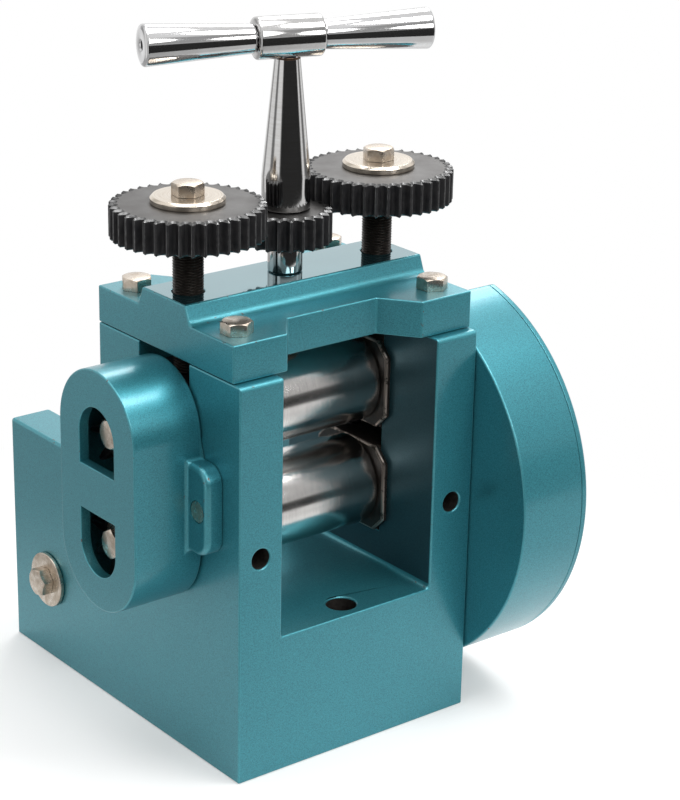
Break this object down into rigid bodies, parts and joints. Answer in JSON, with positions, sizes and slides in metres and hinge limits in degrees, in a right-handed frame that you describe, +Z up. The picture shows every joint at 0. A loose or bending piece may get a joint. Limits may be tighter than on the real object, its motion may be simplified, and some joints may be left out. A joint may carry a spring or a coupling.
{
  "type": "two-roll rolling mill",
  "caption": "Bench-top two-roll rolling mill with a geared screw-down, a T-handle, a roll-gear cover and a drum-shaped reduction drive.",
  "frame": {"origin": "on the frame's underside, midway between its sides, in the vertical plane of both roll axes", "axes": "+X along the rolls towards the drum, +Y from the front to the back, +Z up"},
  "size_m": [0.2251, 0.2234, 0.3237],
  "materials": {
    "teal_paint": "glossy metallic paint",
    "black_oxide": "black oxide, ground faces",
    "black_iron": "blackened, satin",
    "polished_steel": "ground and polished",
    "machined_steel": "turned",
    "spring_steel": "oiled spring wire",
    "chrome": "bright plated",
    "nickel_plate": "nickel plated",
    "bearing_bronze": "turned bronze"
  },
  "bodies": {
    "root": {"cap_bolt_left_front": "nickel_plate", "cap_bolt_left_rear": "nickel_plate", "cap_bolt_right_front": "nickel_plate", "cap_bolt_right_rear": "nickel_plate", "cover_screw_front": "nickel_plate", "cover_screw_rear": "nickel_plate", "drum_cover": "teal_paint", "drum_housing": "teal_paint", "drum_screw_1": "nickel_plate", "drum_screw_2": "nickel_plate", "frame_casting": "teal_paint", "lift_spring_left_front": "spring_steel", "lift_spring_left_rear": "spring_steel", "lift_spring_right_front": "spring_steel", "lift_spring_right_rear": "spring_steel", "lower_block_left": "black_iron", "lower_block_right": "black_iron", "lower_bush_left": "bearing_bronze", "lower_bush_right": "bearing_bronze", "rear_tie_rod": "machined_steel", "shaft_bush_inner": "bearing_bronze", "shaft_bush_outer": "bearing_bronze", "side_cover": "teal_paint", "spindle_bush": "bearing_bronze", "tie_bolt_left": "nickel_plate", "tie_bolt_right": "nickel_plate", "tie_washer_left": "nickel_plate", "tie_washer_right": "nickel_plate", "top_cap": "teal_paint"},
    "handle": {"tee_post": "chrome", "tee_grip_left": "chrome", "tee_grip_right": "chrome", "pinion": "black_oxide", "handle_collar": "chrome", "spindle_nut": "nickel_plate"},
    "carriage": {"upper_block_left": "black_iron", "upper_block_right": "black_iron", "upper_bush_left": "bearing_bronze", "upper_bush_right": "bearing_bronze"},
    "left_screw": {"left_screw": "black_oxide", "left_screw_gear": "black_oxide", "left_screw_washer": "nickel_plate", "left_screw_bolt": "nickel_plate"},
    "right_screw": {"right_screw": "black_oxide", "right_screw_gear": "black_oxide", "right_screw_washer": "nickel_plate", "right_screw_bolt": "nickel_plate"},
    "upper_roll": {"upper_roll": "polished_steel", "upper_roll_gear": "black_oxide", "upper_roll_gear_washer": "nickel_plate", "upper_roll_gear_bolt": "nickel_plate"},
    "lower_roll": {"lower_roll": "polished_steel", "lower_roll_gear": "black_oxide", "lower_roll_gear_washer": "nickel_plate", "lower_roll_gear_bolt": "nickel_plate", "drive_gear": "black_oxide", "drive_gear_washer": "nickel_plate", "drive_gear_bolt": "nickel_plate"},
    "crank_shaft": {"crank_shaft": "machined_steel", "drive_pinion": "black_oxide"}
  },
  "joints": [
    {"name": "handle_turn", "type": "hinge", "parent": "root", "child": "handle", "pos_m": [0, 0, 0.224], "axis": [0, 0, 1], "range_deg": [-540.5, 3780.5]},
    {"name": "carriage_lift", "type": "slide", "parent": "root", "child": "carriage", "axis": [0, 0, 1], "range_m": [-0.00788, 0.00112], "deforming": ["lift_spring_left_front", "lift_spring_left_rear", "lift_spring_right_front", "lift_spring_right_rear"]},
    {"name": "left_screw_turn", "type": "hinge", "parent": "carriage", "child": "left_screw", "pos_m": [-0.052, 0, 0.235], "axis": [0, 0, 1], "range_deg": [-2268.5, 324.5]},
    {"name": "right_screw_turn", "type": "hinge", "parent": "carriage", "child": "right_screw", "pos_m": [0.052, 0, 0.235], "axis": [0, 0, 1], "range_deg": [-2268.5, 324.5]},
    {"name": "crank_turn", "type": "hinge", "parent": "root", "child": "crank_shaft", "pos_m": [0, 0.06847, 0.08805], "axis": [1, 0, 0], "continuous": true},
    {"name": "lower_roll_turn", "type": "hinge", "parent": "root", "child": "lower_roll", "pos_m": [0, 0, 0.1026], "axis": [1, 0, 0], "continuous": true},
    {"name": "upper_roll_turn", "type": "hinge", "parent": "carriage", "child": "upper_roll", "pos_m": [0, 0, 0.1538], "axis": [1, 0, 0], "continuous": true}
  ],
  "couplings": [
    {"joint": "handle_turn", "follows": "carriage_lift", "rad_per_m": -8377.6},
    {"joint": "left_screw_turn", "follows": "carriage_lift", "rad_per_m": 5026.5},
    {"joint": "right_screw_turn", "follows": "carriage_lift", "rad_per_m": 5026.5},
    {"joint": "lower_roll_turn", "follows": "crank_turn", "ratio": -0.25},
    {"joint": "upper_roll_turn", "follows": "crank_turn", "ratio": 0.25}
  ]
}
